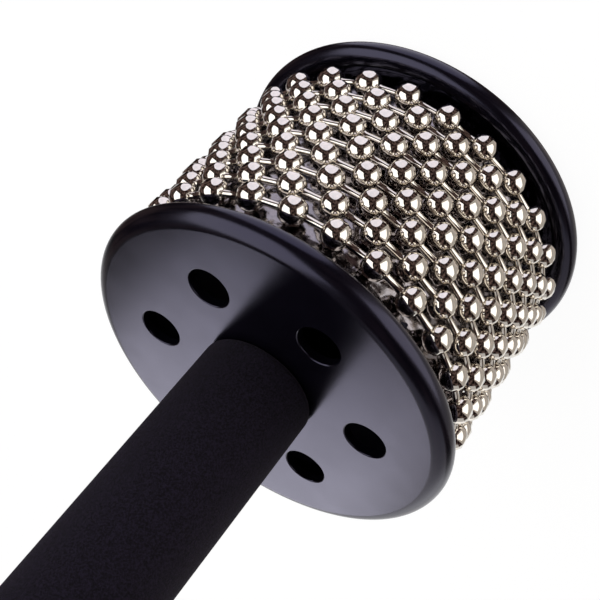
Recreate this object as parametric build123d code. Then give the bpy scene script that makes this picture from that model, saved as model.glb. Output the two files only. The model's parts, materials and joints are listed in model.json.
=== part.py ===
"""Hand-held cabasa: loops of ball chain round a metal-clad drum on a foam-gripped handle.

Millimetres. +Z runs from the head up along the handle, and the origin is the centre of
the end flange's outer face, on which the instrument stands. -Y is the player's side.
"""

import os
from math import cos, pi, radians, sin, sqrt

from build123d import *

# Flanges, two like mouldings with a rim that curls towards the beads
FLANGE_DIAMETER = 95.0
FLANGE_WALL = 2.2
RIM_DEPTH = 5.7
EDGE_RADIUS = 2.85
SOUND_HOLES = 6
HOLE_DIAMETER = 10.5
HOLE_CIRCLE = 55.6
HOLE_TURN = 20.0
HUB_WALL = 4.0
SPIGOT_HEIGHT = 4.0
SOCKET_DEPTH = 6.0
SCREW_WEB = 3.0

# Drum between the flanges: a plastic tube clad in textured sheet
HEAD_LENGTH = 72.9
SLEEVE_DIAMETER = 79.6
SLEEVE_WALL = 0.5
SLEEVE_SEAM = 0.6
TUBE_WALL = 2.5

# Ball chain loops
BALL_DIAMETER = 6.0
BALL_SPACING = 10.4
LINK_DIAMETER = 1.8
LINK_SIDES = 3
LOOP_PITCH = 5.43
END_LIP_GAP = 4.7
HANDLE_LIP_GAP = 5.4
FIRST_BALL_TURN = 12.9
LOOP_TWIST = 3.3

# Handle: a turned rod in a foam sleeve, with a pressed-in end cap
SPINDLE_DIAMETER = 16.0
ROD_DIAMETER = 20.0
GRIP_DIAMETER = 28.4
GRIP_LENGTH = 140.0
GRIP_EDGE = 1.8
CAP_EDGE = 2.5
CAP_HEIGHT = 6.0
CAP_STEM_DIAMETER = 9.0
CAP_STEM_LENGTH = 14.0

# Screw that clamps the head together
SCREW_DIAMETER = 6.0
SCREW_LENGTH = 45.0
SCREW_HEAD_DIAMETER = 12.0
SCREW_HEAD_HEIGHT = 4.0
SCREW_HEAD_SUNK = 0.3
WASHER_DIAMETER = 18.0
WASHER_THICKNESS = 1.2

# Clearances
LOOP_CLEARANCE = 0.3
FIT = 0.1
SCREW_CLEARANCE = 0.2
RECESS_CLEARANCE = 1.0
SEAT_GAP = 0.3

# Sizes that follow from those above
sleeve_radius = SLEEVE_DIAMETER / 2
tube_radius = sleeve_radius - SLEEVE_WALL - FIT
spigot_radius = tube_radius - TUBE_WALL - FIT
socket_radius = SPINDLE_DIAMETER / 2 + FIT
recess_depth = SCREW_HEAD_SUNK + SCREW_HEAD_HEIGHT + WASHER_THICKNESS
recess_radius = WASHER_DIAMETER / 2 + RECESS_CLEARANCE
screw_hole_radius = SCREW_DIAMETER / 2 + SCREW_CLEARANCE
socket_floor = recess_depth + SCREW_WEB
hub_height = socket_floor + SOCKET_DEPTH
hub_radius = max(socket_radius, recess_radius) + HUB_WALL
grip_end = HEAD_LENGTH + GRIP_LENGTH
ball_radius = BALL_DIAMETER / 2
loop_radius = sleeve_radius + LOOP_CLEARANCE + ball_radius
balls_per_loop = round(2 * pi * loop_radius / BALL_SPACING)
ball_step = 360 / balls_per_loop
first_loop_height = RIM_DEPTH + END_LIP_GAP + ball_radius
last_loop_height = HEAD_LENGTH - RIM_DEPTH - HANDLE_LIP_GAP - ball_radius
loops = 1 + int((last_loop_height - first_loop_height) / LOOP_PITCH)
loop_slack = last_loop_height - first_loop_height - (loops - 1) * LOOP_PITCH

# A ball's corners stand in four rings of three, square to its chain
ball_face_offset = ball_radius * sqrt((5 + 2 * sqrt(5)) / 15)
ball_waist_offset = ball_radius * sqrt((5 - 2 * sqrt(5)) / 15)

UPRIGHT = (Align.CENTER, Align.CENTER, Align.MIN)


def rod_between(radius, low, high):
    """A round bar on the axis from one height to another."""
    return Pos(0, 0, low) * Cylinder(radius, high - low, align=UPRIGHT)


def tube_between(outer, inner, low, high):
    """A round tube on the axis from one height to another."""
    return rod_between(outer, low, high) - rod_between(inner, low, high)


def flange(hole_turn):
    """A flange lying on its outer face, with rim, spigot and hub, and no hole in the middle."""
    disc = rod_between(FLANGE_DIAMETER / 2, 0, RIM_DEPTH)
    disc = fillet(disc.edges().sort_by(Axis.Z)[0], EDGE_RADIUS)
    disc -= rod_between(FLANGE_DIAMETER / 2 - FLANGE_WALL, FLANGE_WALL, RIM_DEPTH)
    spigot_top = FLANGE_WALL + SPIGOT_HEIGHT
    disc += tube_between(spigot_radius, spigot_radius - FLANGE_WALL, FLANGE_WALL, spigot_top)
    disc += rod_between(hub_radius, FLANGE_WALL, hub_height)
    hole = Cylinder(HOLE_DIAMETER / 2, FLANGE_WALL, align=UPRIGHT)
    disc -= PolarLocations(HOLE_CIRCLE / 2, SOUND_HOLES, hole_turn) * hole
    return disc


def end_flange():
    """The flange away from the handle, recessed for the clamping screw."""
    part = flange(HOLE_TURN)
    part -= rod_between(recess_radius, 0, recess_depth)
    part -= rod_between(screw_hole_radius, recess_depth, socket_floor)
    part -= rod_between(socket_radius, socket_floor, hub_height)
    return part


def handle_flange():
    """The flange at the handle, turned over, with the spindle's bore right through."""
    part = flange(-HOLE_TURN) - rod_between(socket_radius, 0, hub_height)
    return Pos(0, 0, HEAD_LENGTH) * Rot(180, 0, 0) * part


def drum_tube():
    """The tube that keeps the flanges apart and backs the sheet."""
    return tube_between(tube_radius, tube_radius - TUBE_WALL, FLANGE_WALL, HEAD_LENGTH - FLANGE_WALL)


def textured_sleeve():
    """The rolled sheet that the beads scrape on, with its open seam at the back."""
    low = FLANGE_WALL + FIT
    high = HEAD_LENGTH - FLANGE_WALL - FIT
    sheet = tube_between(sleeve_radius, sleeve_radius - SLEEVE_WALL, low, high)
    seam = Pos(0, sleeve_radius, low) * Box(SLEEVE_SEAM, sleeve_radius, high - low, align=UPRIGHT)
    return sheet - seam


def handle_rod():
    """The turned rod: a spindle through the head, a shoulder and the grip's core."""
    foot = socket_floor + SEAT_GAP
    rod = rod_between(SPINDLE_DIAMETER / 2, foot, HEAD_LENGTH)
    rod += rod_between(ROD_DIAMETER / 2, HEAD_LENGTH, grip_end)
    screw_tip = recess_depth - WASHER_THICKNESS + SCREW_LENGTH
    rod -= rod_between(SCREW_DIAMETER / 2 + FIT, foot, screw_tip + SEAT_GAP)
    rod -= rod_between(CAP_STEM_DIAMETER / 2 + FIT, grip_end - CAP_STEM_LENGTH - SEAT_GAP, grip_end)
    return rod


def foam_grip():
    """The foam sleeve on the rod, with its ends eased."""
    foam = rod_between(GRIP_DIAMETER / 2, HEAD_LENGTH, grip_end)
    foam = chamfer(foam.edges().filter_by(GeomType.CIRCLE), GRIP_EDGE)
    return foam - rod_between(ROD_DIAMETER / 2 + FIT, HEAD_LENGTH, grip_end)


def end_cap():
    """The domed cap on the handle's end, with its stem in the rod."""
    rim = (GRIP_DIAMETER / 2, CAP_EDGE)
    crown = (0, CAP_HEIGHT)
    stem = CAP_STEM_DIAMETER / 2
    outline = Polyline(
        crown, (0, -CAP_STEM_LENGTH), (stem, -CAP_STEM_LENGTH), (stem, 0), (GRIP_DIAMETER / 2, 0), rim
    )
    dome = TangentArc(crown, rim, tangent=(1, 0))
    section = Plane.XZ * make_face([outline, dome])
    return Pos(0, 0, grip_end) * revolve(section, Axis.Z)


def clamp_screw():
    """The screw through the end flange into the rod."""
    neck = SCREW_HEAD_SUNK + SCREW_HEAD_HEIGHT
    head = rod_between(SCREW_HEAD_DIAMETER / 2, SCREW_HEAD_SUNK, neck)
    return head + rod_between(SCREW_DIAMETER / 2, neck, neck + SCREW_LENGTH)


def clamp_washer():
    """The washer under the screw's head."""
    return tube_between(
        WASHER_DIAMETER / 2, screw_hole_radius, recess_depth - WASHER_THICKNESS, recess_depth
    )


def chain_point(along, out, turn):
    """A point beside the chain's line at the ball on +X: along it, and out from it at an angle."""
    angle = radians(turn)
    return Vector(loop_radius + out * cos(angle), along, out * sin(angle))


def ball():
    """A chain ball on +X: twenty flats, with one square to the chain at each end."""
    corners = []
    rings = (ball_face_offset, 0), (ball_waist_offset, 60), (-ball_waist_offset, 0), (-ball_face_offset, 60)
    for along, turn in rings:
        out = sqrt(ball_radius**2 - along**2)
        corners += [chain_point(along, out, turn + third) for third in (0, 120, 240)]
    return ConvexPolyhedron(corners)


def link():
    """The link from the ball on +X to the next, seated on the flats that face each other."""
    corners = []
    for side in range(LINK_SIDES):
        turn = 360 * (side + 0.5) / LINK_SIDES
        corners.append(chain_point(ball_face_offset, LINK_DIAMETER / 2, turn))
        far_end = chain_point(-ball_face_offset, LINK_DIAMETER / 2, turn)
        corners.append(far_end.rotate(Axis.Z, ball_step))
    return ConvexPolyhedron(corners)


def loop_place(index):
    """Where a loop lies: each is half a ball on from the one below, looser towards the handle."""
    looseness = (index / max(loops - 1, 1)) ** 4
    height = first_loop_height + index * LOOP_PITCH + looseness * loop_slack
    turn = FIRST_BALL_TURN + index % 2 * ball_step / 2 + looseness * LOOP_TWIST
    return Pos(0, 0, height) * Rot(0, 0, turn)


def loop_of(piece, place):
    """One piece repeated round a loop, as a group of separate solids."""
    solids = [place * Rot(0, 0, ball_step * count) * piece for count in range(balls_per_loop)]
    return Compound(children=solids)


def all_parts():
    """Every node of the instrument by name."""
    parts = {
        "end_flange": end_flange(),
        "handle_flange": handle_flange(),
        "drum_tube": drum_tube(),
        "textured_sleeve": textured_sleeve(),
        "handle_rod": handle_rod(),
        "foam_grip": foam_grip(),
        "end_cap": end_cap(),
        "clamp_screw": clamp_screw(),
        "clamp_washer": clamp_washer(),
    }
    chain_ball = ball()
    chain_link = link()
    for index in range(loops):
        place = loop_place(index)
        parts[f"bead_loop_{index + 1}_balls"] = loop_of(chain_ball, place)
        parts[f"bead_loop_{index + 1}_links"] = loop_of(chain_link, place)
    return parts


os.makedirs("parts", exist_ok=True)
for name, part in all_parts().items():
    export_step(part, f"parts/{name}.step")
print(loops, "loops of", balls_per_loop, "balls, slack", round(loop_slack, 2))
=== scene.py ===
"""Dresses the cabasa: turned flanges, embossed sheet, bright ball chain, foam grip and a small studio."""

import json
from math import atan2, cos, degrees, pi, radians, sin

import bpy
from mathutils import Matrix, Vector

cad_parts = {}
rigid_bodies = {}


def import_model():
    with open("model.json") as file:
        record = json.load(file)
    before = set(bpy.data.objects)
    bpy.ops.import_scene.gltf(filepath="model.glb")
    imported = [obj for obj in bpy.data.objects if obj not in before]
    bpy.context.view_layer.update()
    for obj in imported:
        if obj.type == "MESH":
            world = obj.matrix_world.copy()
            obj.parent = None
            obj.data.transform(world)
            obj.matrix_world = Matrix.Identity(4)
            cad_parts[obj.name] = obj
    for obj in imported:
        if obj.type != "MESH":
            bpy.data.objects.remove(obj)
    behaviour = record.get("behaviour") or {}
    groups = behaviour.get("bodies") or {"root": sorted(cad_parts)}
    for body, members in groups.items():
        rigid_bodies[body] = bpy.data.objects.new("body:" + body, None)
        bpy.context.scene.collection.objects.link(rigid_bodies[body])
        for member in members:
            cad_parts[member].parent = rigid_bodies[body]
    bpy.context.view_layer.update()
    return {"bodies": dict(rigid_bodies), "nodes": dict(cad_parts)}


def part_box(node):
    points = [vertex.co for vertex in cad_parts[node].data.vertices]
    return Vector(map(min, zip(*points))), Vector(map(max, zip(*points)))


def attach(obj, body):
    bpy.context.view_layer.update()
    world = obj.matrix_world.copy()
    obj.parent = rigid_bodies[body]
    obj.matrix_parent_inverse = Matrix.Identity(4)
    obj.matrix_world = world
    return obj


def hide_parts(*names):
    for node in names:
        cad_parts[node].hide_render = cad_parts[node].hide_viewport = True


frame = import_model()

bl_info = {
    "name": "Cabasa",
    "version": (1, 0, 0),
    "blender": (4, 5, 0),
    "location": "View3D > Sidebar > Cabasa",
    "description": "Models the visible pieces of a hand-held cabasa round its construction",
    "category": "Object",
}

MM = 0.001
HEAD_BODY = "head_and_handle"

# Places that the construction gives
flange_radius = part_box("handle_flange")[1].x
hub_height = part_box("end_flange")[1].z
head_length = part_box("handle_flange")[1].z
sleeve_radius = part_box("textured_sleeve")[1].x
sleeve_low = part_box("textured_sleeve")[0].z
sleeve_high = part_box("textured_sleeve")[1].z
tube_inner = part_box("drum_tube")[1].x - 2.5 * MM
grip_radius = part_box("foam_grip")[1].x
grip_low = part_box("foam_grip")[0].z
grip_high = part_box("foam_grip")[1].z
cap_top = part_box("end_cap")[1].z
cap_stem_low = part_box("end_cap")[0].z
loop_names = sorted(body for body in frame["bodies"] if body.startswith("bead_loop_"))


def length(name, description, default):
    """A length property in metres."""
    return bpy.props.FloatProperty(
        name=name, description=description, default=default, unit="LENGTH", precision=5
    )


def colour(name, description, default):
    """A colour property."""
    return bpy.props.FloatVectorProperty(
        name=name, description=description, default=default, subtype="COLOR", size=3, min=0, max=1
    )


class CabasaSizes(bpy.types.PropertyGroup):
    """Sizes of the pieces that the scene models."""

    edge_radius: length("Edge radius", "Rounding of a flange's outer edge", 3.8 * MM)
    rim_depth: length("Rim depth", "How far a flange's rim reaches over the drum", 6.3 * MM)
    rim_width: length("Rim width", "Thickness of a flange's rim, from its edge to its groove", 6.5 * MM)
    lip_radius: length("Lip radius", "Rounding of the rim on the side of the beads", 2.5 * MM)
    groove_edge: length("Groove edge", "Rounding of the rim's edge at the groove", 4.0 * MM)
    flange_wall: length("Flange wall", "Thickness of a flange", 2.2 * MM)
    hole_radius: length("Sound hole radius", "Half the width of a sound hole", 5.25 * MM)
    hole_circle: length("Sound hole circle", "Distance of the sound holes from the axis", 27.8 * MM)
    hole_edge: length("Sound hole edge", "Rounding of a sound hole's edge", 0.4 * MM)
    ball_radius: length("Ball radius", "From a chain ball's centre to its corners", 3.45 * MM)
    link_radius: length("Link radius", "Half the width of a chain link", 0.85 * MM)
    chain_rise: length("Chain rise", "Height of a chain's line over the sleeve", 3.3 * MM)
    sheet_drop: length("Sheet drop", "How far the sheet's crests lie under the sleeve's outside", 0.2 * MM)
    emboss_depth: length("Emboss depth", "Depth of the sheet's embossing", 0.4 * MM)
    emboss_size: length("Emboss size", "Width of one crumple in the sheet", 3.4 * MM)
    grip_edge: length("Grip edge", "Rounding of the foam's ends", 1.8 * MM)


class CabasaColours(bpy.types.PropertyGroup):
    """Colours of the finishes."""

    plastic: colour("Flange plastic", "Satin black moulding", (0.0022, 0.0018, 0.0042))
    nickel: colour("Nickel", "Bright plate on the ball chain", (0.76, 0.715, 0.65))
    # The sheet colour is kept well below bright steel: painted shade standing in for the shade in the gaps
    # between the balls.
    sheet: colour("Sheet", "Bright embossed sheet", (0.28, 0.26, 0.275))
    foam: colour("Foam", "Matt foam of the grip", (0.0066, 0.0048, 0.0108))
    wood: colour("Wood", "Turned rod", (0.42, 0.27, 0.14))
    zinc: colour("Zinc", "Screw and washer", (0.55, 0.55, 0.56))


def sizes():
    """The size settings of the scene."""
    return bpy.context.scene.cabasa_sizes


def colours():
    """The colour settings of the scene."""
    return bpy.context.scene.cabasa_colours


# Finishes


def finish_nodes(name, base, roughness, metallic=0.0):
    """A new material with its Principled shader, node tree and object coordinates."""
    material = bpy.data.materials.new(name)
    material.use_nodes = True
    tree = material.node_tree
    shader = tree.nodes["Principled BSDF"]
    shader.inputs["Base Color"].default_value = (*base, 1)
    shader.inputs["Roughness"].default_value = roughness
    shader.inputs["Metallic"].default_value = metallic
    place = tree.nodes.new("ShaderNodeTexCoord").outputs["Object"]
    return material, tree, shader, place


def noise(tree, place, size, detail=2.0, roughness=0.5):
    """Noise whose lumps are about the given size in metres."""
    node = tree.nodes.new("ShaderNodeTexNoise")
    node.inputs["Scale"].default_value = 1 / size
    node.inputs["Detail"].default_value = detail
    node.inputs["Roughness"].default_value = roughness
    tree.links.new(place, node.inputs["Vector"])
    return node.outputs["Fac"]


def spread(tree, value, low, high):
    """Maps noise onto a range."""
    node = tree.nodes.new("ShaderNodeMapRange")
    node.inputs["From Min"].default_value = 0.3
    node.inputs["From Max"].default_value = 0.7
    node.inputs["To Min"].default_value = low
    node.inputs["To Max"].default_value = high
    tree.links.new(value, node.inputs["Value"])
    return node.outputs["Result"]


def tint(tree, value, dark, light, start=0.3, end=0.7):
    """Colours between two shades by a value."""
    node = tree.nodes.new("ShaderNodeValToRGB")
    node.color_ramp.elements[0].position = start
    node.color_ramp.elements[0].color = (*dark, 1)
    node.color_ramp.elements[1].position = end
    node.color_ramp.elements[1].color = (*light, 1)
    tree.links.new(value, node.inputs["Fac"])
    return node.outputs["Color"]


def relief(tree, shader, value, depth, strength=1.0):
    """Bump of a real depth in metres."""
    node = tree.nodes.new("ShaderNodeBump")
    node.inputs["Distance"].default_value = depth
    node.inputs["Strength"].default_value = strength
    tree.links.new(value, node.inputs["Height"])
    tree.links.new(node.outputs["Normal"], shader.inputs["Normal"])


def shade(base, factor):
    """A colour made lighter or darker."""
    return tuple(min(1.0, channel * factor) for channel in base)


def satin_plastic(name, base, roughness):
    """Moulded plastic with a faint orange peel, an uneven gloss and a cool sheen."""
    material, tree, shader, place = finish_nodes(name, base, roughness)
    shader.inputs["Specular IOR Level"].default_value = 0.62
    shader.inputs["Specular Tint"].default_value = (0.7, 0.67, 1.0, 1)
    gloss = noise(tree, place, 9 * MM, 3)
    tree.links.new(spread(tree, gloss, roughness * 0.9, roughness * 1.12), shader.inputs["Roughness"])
    tree.links.new(tint(tree, gloss, shade(base, 0.85), shade(base, 1.15)), shader.inputs["Base Color"])
    relief(tree, shader, noise(tree, place, 0.5 * MM, 2), 0.004 * MM)
    return material


def bright_nickel(name, base):
    """Bright plate, a little warmer and duller here and there."""
    material, tree, shader, place = finish_nodes(name, base, 0.05, 1.0)
    wear = noise(tree, place, 2.5 * MM, 4)
    tree.links.new(spread(tree, wear, 0.03, 0.1), shader.inputs["Roughness"])
    tree.links.new(tint(tree, wear, shade(base, 0.94), shade(base, 1.04)), shader.inputs["Base Color"])
    return material


def embossed_sheet(name, base):
    """Bright rolled sheet with fine drawing marks, on a base colour darkened as painted shade for the gaps
    between the balls.
    """
    material, tree, shader, place = finish_nodes(name, base, 0.16, 1.0)
    wear = noise(tree, place, 1.2 * MM, 3)
    tree.links.new(spread(tree, wear, 0.07, 0.18), shader.inputs["Roughness"])
    tree.links.new(tint(tree, wear, shade(base, 0.86), shade(base, 1.05)), shader.inputs["Base Color"])
    relief(tree, shader, noise(tree, place, 0.7 * MM, 3), 0.03 * MM)
    return material


def cellular_foam(name, base):
    """Matt foam: open cells that speckle it, and a soft unevenness."""
    material, tree, shader, place = finish_nodes(name, base, 0.95)
    cells = noise(tree, place, 0.5 * MM, 4, 0.8)
    speckle = tint(tree, cells, shade(base, 0.3), shade(base, 2.2), 0.4, 0.6)
    tree.links.new(speckle, shader.inputs["Base Color"])
    shader.inputs["Specular IOR Level"].default_value = 0.2
    shader.inputs["Sheen Weight"].default_value = 0.04
    shader.inputs["Sheen Roughness"].default_value = 0.5
    shader.inputs["Sheen Tint"].default_value = (0.9, 0.8, 1.0, 1)
    relief(tree, shader, cells, 0.25 * MM, 1.0)
    return material


def turned_wood(name, base):
    """Plain hardwood with its grain along the rod."""
    material, tree, shader, place = finish_nodes(name, base, 0.6)
    stretch = tree.nodes.new("ShaderNodeMapping")
    stretch.inputs["Scale"].default_value = (1, 1, 0.06)
    tree.links.new(place, stretch.inputs["Vector"])
    grain = noise(tree, stretch.outputs["Vector"], 1.5 * MM, 5)
    tree.links.new(tint(tree, grain, shade(base, 0.7), shade(base, 1.15)), shader.inputs["Base Color"])
    relief(tree, shader, grain, 0.05 * MM, 0.5)
    return material


def plated_steel(name, base):
    """Zinc plate with a fine uneven sheen."""
    material, tree, shader, place = finish_nodes(name, base, 0.3, 1.0)
    wear = noise(tree, place, 1.0 * MM, 3)
    tree.links.new(spread(tree, wear, 0.24, 0.42), shader.inputs["Roughness"])
    tree.links.new(tint(tree, wear, shade(base, 0.85), shade(base, 1.1)), shader.inputs["Base Color"])
    return material


def finish(name):
    """The finish of that name, made the first time that it is asked for."""
    if name in bpy.data.materials:
        return bpy.data.materials[name]
    palette = colours()
    makers = {
        "satin_black": lambda: satin_plastic(name, palette.plastic, 0.22),
        "matt_black": lambda: satin_plastic(name, palette.plastic, 0.55),
        "bright_nickel": lambda: bright_nickel(name, palette.nickel),
        "embossed_sheet": lambda: embossed_sheet(name, palette.sheet),
        "cellular_foam": lambda: cellular_foam(name, palette.foam),
        "hardwood": lambda: turned_wood(name, palette.wood),
        "plated_steel": lambda: plated_steel(name, palette.zinc),
    }
    return makers[name]()


# Modelling


def deselect():
    """Leaves object mode with nothing selected."""
    if bpy.context.object and bpy.context.object.mode != "OBJECT":
        bpy.ops.object.mode_set(mode="OBJECT")
    bpy.ops.object.select_all(action="DESELECT")


def edit(piece):
    """Opens one piece for editing, with all of it selected."""
    deselect()
    bpy.context.view_layer.objects.active = piece
    piece.select_set(True)
    bpy.ops.object.mode_set(mode="EDIT")
    bpy.ops.mesh.select_all(action="SELECT")


def apply_modifier(piece, kind, **settings):
    """Adds a modifier with its settings and applies it."""
    deselect()
    bpy.context.view_layer.objects.active = piece
    piece.select_set(True)
    modifier = piece.modifiers.new(kind.lower(), kind)
    for key, value in settings.items():
        setattr(modifier, key, value)
    bpy.ops.object.modifier_apply(modifier=modifier.name)


def arc(centre, radius, start, end, steps=8):
    """Points of an arc in an outline, from one angle to another in degrees."""
    turns = [radians(start + (end - start) * step / steps) for step in range(steps + 1)]
    return [(centre[0] + radius * cos(turn), centre[1] + radius * sin(turn)) for turn in turns]


def turned(outline, steps=144, sweep=2 * pi):
    """An outline of (radius, height) points, extruded point by point and spun round the axis."""
    deselect()
    bpy.ops.mesh.primitive_plane_add(size=1, location=(0, 0, 0))
    piece = bpy.context.object
    edit(piece)
    bpy.ops.mesh.select_mode(type="VERT")
    bpy.ops.mesh.merge(type="CENTER")
    bpy.ops.transform.translate(value=(outline[0][0], 0, outline[0][1]))
    for before, after in zip(outline, outline[1:]):
        step = (after[0] - before[0], 0, after[1] - before[1])
        bpy.ops.mesh.extrude_vertices_move(TRANSFORM_OT_translate={"value": step})
    bpy.ops.mesh.select_all(action="SELECT")
    bpy.ops.mesh.remove_doubles(threshold=0.001 * MM)
    bpy.ops.mesh.spin(steps=steps, angle=sweep, center=(0, 0, 0), axis=(0, 0, 1))
    bpy.ops.mesh.select_all(action="SELECT")
    bpy.ops.mesh.remove_doubles(threshold=0.002 * MM)
    bpy.ops.mesh.normals_make_consistent(inside=False)
    bpy.ops.object.mode_set(mode="OBJECT")
    return piece


def spun_copies(piece, count):
    """Copies everything in a piece round the axis, evenly."""
    edit(piece)
    bpy.ops.mesh.spin(
        steps=count - 1, dupli=True, angle=2 * pi * (count - 1) / count, center=(0, 0, 0), axis=(0, 0, 1)
    )
    bpy.ops.object.mode_set(mode="OBJECT")


def settle(piece, name, material, angle=35):
    """Names a piece, puts its place into its mesh, smooths it and gives it its finish."""
    deselect()
    bpy.context.view_layer.objects.active = piece
    piece.select_set(True)
    bpy.ops.object.transform_apply(location=True, rotation=True, scale=True)
    bpy.ops.object.shade_smooth_by_angle(angle=radians(angle))
    piece.name = name
    piece.data.name = name
    piece.data.materials.clear()
    piece.data.materials.append(finish(material))


def belong(piece, body, slot, *nodes):
    """Lets a piece ride on its body in place of its nodes."""
    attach(piece, body)
    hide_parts(*nodes)


# Flanges


def flange_outline():
    """Half a flange's section without its bore, as radius and depth from its outer face."""
    size = sizes()
    rim = flange_radius
    groove = rim - size.rim_width
    edge = size.edge_radius
    lip = size.lip_radius
    inner = size.groove_edge
    wall = size.flange_wall
    spigot = tube_inner - 0.1 * MM
    spigot_top = wall + 4 * MM
    hub = 14 * MM
    outline = arc((rim - edge, edge), edge, -90, 0, 12)
    outline += arc((rim - lip, size.rim_depth - lip), lip, 0, 90, 8)
    outline += arc((groove + inner, size.rim_depth - inner), inner, 90, 180, 12)
    outline += [(groove, wall), (spigot, wall), (spigot, spigot_top), (spigot - wall, spigot_top)]
    outline += [(spigot - wall, wall), (hub, wall), (hub, hub_height)]
    return outline


def cut_sound_holes(piece, start):
    """Cuts the ring of sound holes through a flange, flared where they meet its outer face."""
    size = sizes()
    flare = size.hole_edge
    mouth = size.hole_radius + flare
    over = -2 * MM
    under = 2 * size.flange_wall
    lift = 0.02 * MM
    outline = [(0, over), (mouth, over)]
    outline += arc((mouth, flare - lift), flare, -90, -180, 8)
    outline += [(size.hole_radius, under), (0, under)]
    cutter = turned(outline, 64)
    cutter.location = (size.hole_circle * cos(start), size.hole_circle * sin(start), 0)
    bpy.ops.object.transform_apply(location=True)
    spun_copies(cutter, 6)
    apply_modifier(piece, "BOOLEAN", object=cutter, operation="DIFFERENCE", solver="EXACT")
    bpy.data.objects.remove(cutter)


def place_flange(piece, name, node, turned_over):
    """Puts a flange at its end of the head."""
    piece.location.z = head_length if turned_over else 0
    piece.rotation_euler.x = pi if turned_over else 0
    settle(piece, name, "satin_black")
    apply_modifier(piece, "WEIGHTED_NORMAL", keep_sharp=True, weight=80)
    belong(piece, HEAD_BODY, "black_plastic", node)


class MakeFlanges(bpy.types.Operator):
    """Turns the two flanges and cuts their sound holes."""

    bl_idname = "cabasa.make_flanges"
    bl_label = "Flanges"

    def execute(self, context):
        hole_start = radians(20)
        socket = 8.1 * MM
        bore = [(socket, hub_height), (socket, 0)]
        handle_flange = turned(bore + flange_outline() + bore[:1])
        cut_sound_holes(handle_flange, -hole_start)
        place_flange(handle_flange, "handle_flange_moulding", "handle_flange", True)
        recess = 10 * MM
        recess_depth = 5.5 * MM
        eased = 0.5 * MM
        screw_hole = 3.2 * MM
        socket_floor = 8.5 * MM
        bore = [(socket, hub_height), (socket, socket_floor), (screw_hole, socket_floor)]
        bore += [(screw_hole, recess_depth), (recess, recess_depth)]
        bore += arc((recess + eased, eased), eased, 180, 270, 4)
        end_flange = turned(bore + flange_outline() + bore[:1])
        cut_sound_holes(end_flange, hole_start)
        place_flange(end_flange, "end_flange_moulding", "end_flange", False)
        return {"FINISHED"}


# Sheet round the drum


class MakeSheet(bpy.types.Operator):
    """Rolls the embossed sheet round the drum, with its seam at the back."""

    bl_idname = "cabasa.make_sheet"
    bl_label = "Embossed sheet"

    def execute(self, context):
        size = sizes()
        columns = 420
        rows = 110
        sheet_gauge = 0.45 * MM
        crest = sleeve_radius - size.sheet_drop
        seam = 0.6 * MM / crest
        heights = [sleeve_low + (sleeve_high - sleeve_low) * row / rows for row in range(rows + 1)]
        sheet = turned([(crest, height) for height in heights], columns, 2 * pi - seam)
        sheet.rotation_euler.z = pi / 2 + seam / 2
        bpy.ops.object.transform_apply(rotation=True)
        crumple = bpy.data.textures.new("crumple", "VORONOI")
        crumple.noise_scale = size.emboss_size
        crumple.distance_metric = "DISTANCE"
        crumple.noise_intensity = 1.2
        apply_modifier(
            sheet, "DISPLACE", texture=crumple, texture_coords="LOCAL", direction="NORMAL",
            mid_level=0.0, strength=-size.emboss_depth,
        )
        apply_modifier(sheet, "SOLIDIFY", thickness=sheet_gauge, offset=-1)
        settle(sheet, "embossed_sheet", "embossed_sheet", 40)
        belong(sheet, HEAD_BODY, "textured_steel", "textured_sleeve")
        return {"FINISHED"}


# Ball chain


def loop_lie(body):
    """How a loop lies in the construction: its height, ball count and the turn of its first ball."""
    low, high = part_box(body + "_balls")
    corners = [vertex.co for vertex in frame["nodes"][body + "_balls"].data.vertices]
    count = 26
    turns = [count * flat_angle(corner) for corner in corners]
    wave = sum((Vector((cos(turn), sin(turn))) for turn in turns), Vector((0, 0)))
    turn = flat_angle(wave) / count
    return (low.z + high.z) / 2, count, turn


def flat_angle(point):
    """The angle of a point round the axis."""
    return Vector((point.x, point.y)).angle_signed(Vector((1, 0)))


def flare_link(link, radius):
    """Draws a link's ends out into its balls, with the flare of the holes that they come from."""
    widening = 1.35
    for side in (-1, 1):
        edit(link)
        bpy.ops.mesh.select_all(action="DESELECT")
        bpy.ops.object.mode_set(mode="OBJECT")
        for vertex in link.data.vertices:
            vertex.select = vertex.co.z * side > 0
        bpy.ops.object.mode_set(mode="EDIT")
        bpy.ops.mesh.extrude_region_move(
            TRANSFORM_OT_translate={"value": (0, 0, side * radius), "orient_type": "LOCAL"}
        )
        bpy.ops.transform.resize(value=(widening, widening, 1), orient_type="LOCAL")
        bpy.ops.object.mode_set(mode="OBJECT")


def chain_loop(body, radius):
    """One ball and the link to the next, copied round a loop."""
    size = sizes()
    height, count, turn = loop_lie(body)
    step = 2 * pi / count
    deselect()
    bpy.ops.mesh.primitive_cube_add(size=size.ball_radius, location=(0, 0, 0))
    ball = bpy.context.object
    edit(ball)
    bpy.ops.mesh.subdivide(number_cuts=2)
    bpy.ops.object.mode_set(mode="OBJECT")
    apply_modifier(
        ball, "CAST", cast_type="SPHERE", factor=1.0, use_radius_as_size=False, size=size.ball_radius
    )
    ball.location = (radius * cos(turn), radius * sin(turn), height)
    ball.rotation_euler.z = turn
    chord = 2 * radius * sin(step / 2)
    middle = radius * cos(step / 2)
    bearing = turn + step / 2
    deselect()
    bpy.ops.mesh.primitive_cylinder_add(
        vertices=10, radius=size.link_radius, depth=chord - 2 * size.ball_radius, end_fill_type="NGON",
        location=(middle * cos(bearing), middle * sin(bearing), height), rotation=(pi / 2, 0, bearing),
    )
    link = bpy.context.object
    flare_link(link, size.link_radius)
    link.select_set(True)
    ball.select_set(True)
    bpy.context.view_layer.objects.active = ball
    bpy.ops.object.transform_apply(location=True, rotation=True)
    bpy.ops.object.join()
    spun_copies(ball, count)
    settle(ball, body + "_chain", "bright_nickel", 60)
    belong(ball, body, "bead_nickel", body + "_balls", body + "_links")


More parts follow.
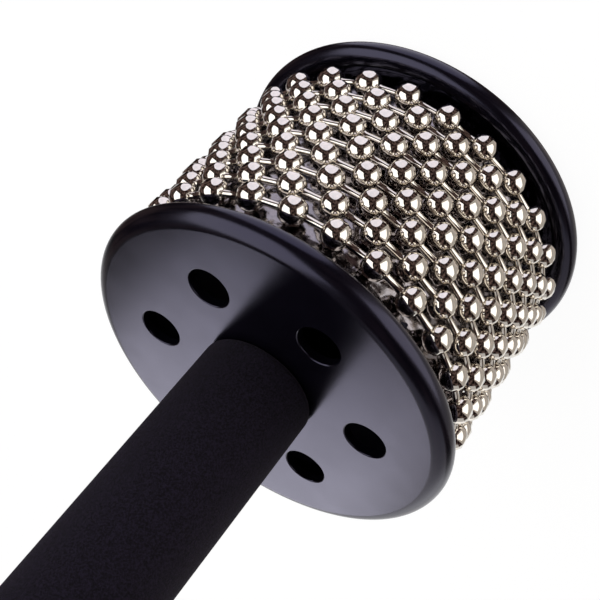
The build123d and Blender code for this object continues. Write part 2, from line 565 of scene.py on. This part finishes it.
class MakeChains(bpy.types.Operator):
    """Strings the loops of ball chain round the drum."""

    bl_idname = "cabasa.make_chains"
    bl_label = "Ball chains"

    def execute(self, context):
        for body in loop_names:
            chain_loop(body, sleeve_radius + sizes().chain_rise)
        return {"FINISHED"}


# Handle


class MakeGrip(bpy.types.Operator):
    """Slides the foam sleeve onto the rod."""

    bl_idname = "cabasa.make_grip"
    bl_label = "Foam grip"

    def execute(self, context):
        edge = sizes().grip_edge
        bore = 10.1 * MM
        outline = [(bore, grip_low)] + arc((grip_radius - edge, grip_low + edge), edge, -90, 0)
        rings = 70
        tall = grip_high - grip_low - 2 * edge
        outline += [(grip_radius, grip_low + edge + tall * ring / rings) for ring in range(1, rings)]
        outline += arc((grip_radius - edge, grip_high - edge), edge, 0, 90) + [(bore, grip_high)]
        grip = turned(outline + outline[:1], 96)
        settle(grip, "foam_sleeve", "cellular_foam", 50)
        belong(grip, HEAD_BODY, "grip_foam", "foam_grip")
        return {"FINISHED"}


class MakeCap(bpy.types.Operator):
    """Turns the domed cap at the handle's end."""

    bl_idname = "cabasa.make_cap"
    bl_label = "End cap"

    def execute(self, context):
        edge = 1.2 * MM
        stem = 4.5 * MM
        side = 2.5 * MM
        rise = cap_top - grip_high - side
        dome = (grip_radius**2 + rise**2) / (2 * rise)
        half = degrees(atan2(dome - rise, grip_radius))
        outline = [(0, cap_stem_low), (stem, cap_stem_low), (stem, grip_high)]
        outline += arc((grip_radius - edge / 2, grip_high + edge / 2), edge / 2, -90, 0, 4)
        outline += [(grip_radius, grip_high + side)]
        outline += arc((0, cap_top - dome), dome, half, 90, 14)[1:]
        cap = turned(outline, 96)
        settle(cap, "end_cap_moulding", "matt_black", 30)
        belong(cap, HEAD_BODY, "cap_plastic", "end_cap")
        return {"FINISHED"}


class FinishInside(bpy.types.Operator):
    """Gives the pieces inside, which keep their shape, their finish."""

    bl_idname = "cabasa.finish_inside"
    bl_label = "Inner pieces"

    def execute(self, context):
        finishes = {
            "drum_tube": "matt_black",
            "handle_rod": "hardwood",
            "clamp_screw": "plated_steel",
            "clamp_washer": "plated_steel",
        }
        for node, name in finishes.items():
            for holder in frame["nodes"][node].material_slots:
                holder.link = "OBJECT"
                holder.material = finish(name)
        return {"FINISHED"}


# Studio

CAMERA_PLACE = Vector((0, -223.67, 198.93)) * MM
CAMERA_LOOK = Vector((0.0184, 0.829, -0.5589)).normalized()
CAMERA_UP = Vector((0.6297, -0.4438, -0.6376)).normalized()
CAMERA_RIGHT = CAMERA_LOOK.cross(CAMERA_UP).normalized()
CAMERA_LENS = 67.2


def studio_direction(right, up, towards):
    """A direction given from the camera's seat: to its right, up, and towards it."""
    return CAMERA_RIGHT * right + CAMERA_UP * up - CAMERA_LOOK * towards


def softbox(name, out, facing, across, size, radiance, tone=(1, 1, 1), shape="RECTANGLE"):
    """A soft box about a metre from the head, square to a line from the head."""
    deselect()
    centre = Vector((0, 0, head_length / 2))
    bpy.ops.object.light_add(type="AREA", location=centre + out)
    lamp = bpy.context.object
    lamp.name = name
    lamp.data.shape = shape
    lamp.data.size, lamp.data.size_y = size
    lamp.data.energy = radiance * pi * size[0] * size[1] * (pi / 4 if shape == "ELLIPSE" else 1)
    lamp.data.color = tone
    back = facing.normalized()
    side = (across - back * across.dot(back)).normalized()
    turn = Matrix((side, back.cross(side), back)).transposed()
    lamp.matrix_world = Matrix.Translation(centre + out) @ turn.to_4x4()


def pale_floor(name):
    """White paper: white to the camera, with a little of its own shading for the shadow."""
    material = bpy.data.materials.new(name)
    material.use_nodes = True
    tree = material.node_tree
    tree.nodes.clear()
    output = tree.nodes.new("ShaderNodeOutputMaterial")
    paper = tree.nodes.new("ShaderNodeBsdfDiffuse")
    paper.inputs["Color"].default_value = (0.9, 0.9, 0.9, 1)
    glow = tree.nodes.new("ShaderNodeEmission")
    glow.inputs["Strength"].default_value = 1.06
    path = tree.nodes.new("ShaderNodeLightPath")
    share = tree.nodes.new("ShaderNodeMath")
    share.operation = "MULTIPLY"
    share.inputs[1].default_value = 0.9
    mix = tree.nodes.new("ShaderNodeMixShader")
    tree.links.new(path.outputs["Is Camera Ray"], share.inputs[0])
    tree.links.new(share.outputs["Value"], mix.inputs["Fac"])
    tree.links.new(paper.outputs["BSDF"], mix.inputs[1])
    tree.links.new(glow.outputs["Emission"], mix.inputs[2])
    tree.links.new(mix.outputs["Shader"], output.inputs["Surface"])
    return material


def combine(tree, operation, first, second):
    """Joins two values by a math operation."""
    node = tree.nodes.new("ShaderNodeMath")
    node.operation = operation
    tree.links.new(first, node.inputs[0])
    tree.links.new(second, node.inputs[1])
    return node.outputs["Value"]


def studio_world(behind, dim):
    """A dim room that is white to the camera, and to metal where the background stands behind the head."""
    world = bpy.data.worlds.new("studio")
    bpy.context.scene.world = world
    world.use_nodes = True
    tree = world.node_tree
    tree.nodes.clear()
    output = tree.nodes.new("ShaderNodeOutputWorld")
    room = tree.nodes.new("ShaderNodeBackground")
    white = tree.nodes.new("ShaderNodeBackground")
    white.inputs["Color"].default_value = (1, 1, 1, 1)
    way = tree.nodes.new("ShaderNodeTexCoord").outputs["Generated"]
    clutter = noise(tree, way, 0.24, 3)
    tree.links.new(tint(tree, clutter, shade(dim, 0.1), shade(dim, 2.6), 0.44, 0.6), room.inputs["Color"])
    lean = tree.nodes.new("ShaderNodeVectorMath")
    lean.operation = "DOT_PRODUCT"
    lean.inputs[1].default_value = behind
    tree.links.new(way, lean.inputs[0])
    level = tree.nodes.new("ShaderNodeMapRange")
    level.interpolation_type = "SMOOTHSTEP"
    level.inputs["From Min"].default_value = 0.62
    level.inputs["From Max"].default_value = 0.88
    tree.links.new(lean.outputs["Value"], level.inputs["Value"])
    path = tree.nodes.new("ShaderNodeLightPath")
    mix = tree.nodes.new("ShaderNodeMixShader")
    sharp = combine(tree, "ADD", path.outputs["Is Glossy Ray"], path.outputs["Is Transmission Ray"])
    seen = combine(tree, "MULTIPLY", sharp, level.outputs["Result"])
    tree.links.new(combine(tree, "MAXIMUM", path.outputs["Is Camera Ray"], seen), mix.inputs["Fac"])
    tree.links.new(room.outputs["Background"], mix.inputs[1])
    tree.links.new(white.outputs["Background"], mix.inputs[2])
    tree.links.new(mix.outputs["Shader"], output.inputs["Surface"])


class MakeStage(bpy.types.Operator):
    """Lays the floor, lights the head and sets up the camera."""

    bl_idname = "cabasa.make_stage"
    bl_label = "Stage"

    def execute(self, context):
        deselect()
        floor_gap = 0.05 * MM
        bpy.ops.mesh.primitive_plane_add(size=8, location=(0, 0, -floor_gap))
        floor = bpy.context.object
        floor.name = "floor"
        floor.data.materials.append(pale_floor("white_paper"))
        # Two lamps stand under the floor, as the photo's light does, so it lets light through
        floor.visible_glossy = False
        floor.visible_diffuse = False
        floor.visible_shadow = False
        up = studio_direction(0, 1, 0)
        right = studio_direction(1, 0, 0)
        towards = studio_direction(0, 0, 1)
        rear = Vector((-0.02, 0.9, 0.45))
        cool = (0.88, 0.87, 1.0)
        warm = (1.0, 0.95, 0.88)
        overhead = up + 0.12 * right - 0.1 * towards
        softbox("top_box", overhead, up, right, (1.0, 1.9), 1.15, cool, "ELLIPSE")
        softbox("left_box", -right + 1.16 * towards, -right, towards, (1.96, 1.8), 1.8)
        softbox("right_box", right + 1.0 * towards, right, towards, (1.75, 1.1), 1.3, (1.0, 0.99, 0.97))
        softbox("right_wall", 1.02 * right + 0.35 * towards, right, towards, (3.1, 1.7), 0.42, warm)
        softbox("low_box", -up - 0.2 * towards, -up, right, (1.2, 1.0), 0.5)
        softbox("rear_box", rear, rear, Vector((1, 0, 0)), (0.37, 0.37), 2.35, (0.9, 0.884, 1.0))
        studio_world(studio_direction(0, -0.42, -0.91), (0.05, 0.033, 0.03))
        bpy.ops.object.camera_add()
        camera = context.object
        camera.name = "camera"
        camera.data.lens = CAMERA_LENS
        camera.data.sensor_width = 36
        camera.data.clip_start = 0.005
        turn = Matrix((CAMERA_RIGHT, CAMERA_UP, -CAMERA_LOOK)).transposed()
        camera.matrix_world = Matrix.Translation(CAMERA_PLACE) @ turn.to_4x4()
        context.scene.camera = camera
        context.scene.view_settings.view_transform = "Standard"
        return {"FINISHED"}


class CabasaPanel(bpy.types.Panel):
    """Lists the cabasa's pieces and settings in the sidebar."""

    bl_idname = "VIEW3D_PT_cabasa"
    bl_label = "Cabasa"
    bl_space_type = "VIEW_3D"
    bl_region_type = "UI"
    bl_category = "Cabasa"

    def draw(self, context):
        for operator in OPERATORS:
            self.layout.operator(operator.bl_idname)
        for settings in (context.scene.cabasa_sizes, context.scene.cabasa_colours):
            for key in settings.__annotations__:
                self.layout.prop(settings, key)


OPERATORS = (MakeFlanges, MakeSheet, MakeChains, MakeGrip, MakeCap, FinishInside, MakeStage)
CLASSES = (CabasaSizes, CabasaColours, *OPERATORS, CabasaPanel)


def register():
    """Registers the classes and the scene's settings."""
    for item in CLASSES:
        bpy.utils.register_class(item)
    bpy.types.Scene.cabasa_sizes = bpy.props.PointerProperty(type=CabasaSizes)
    bpy.types.Scene.cabasa_colours = bpy.props.PointerProperty(type=CabasaColours)


def unregister():
    """Takes the settings and classes out again."""
    del bpy.types.Scene.cabasa_colours
    del bpy.types.Scene.cabasa_sizes
    for item in reversed(CLASSES):
        bpy.utils.unregister_class(item)


def main():
    """Makes every piece and the stage."""
    register()
    bpy.ops.cabasa.make_flanges()
    bpy.ops.cabasa.make_sheet()
    bpy.ops.cabasa.make_chains()
    bpy.ops.cabasa.make_grip()
    bpy.ops.cabasa.make_cap()
    bpy.ops.cabasa.finish_inside()
    bpy.ops.cabasa.make_stage()


if __name__ == "__main__":
    main()
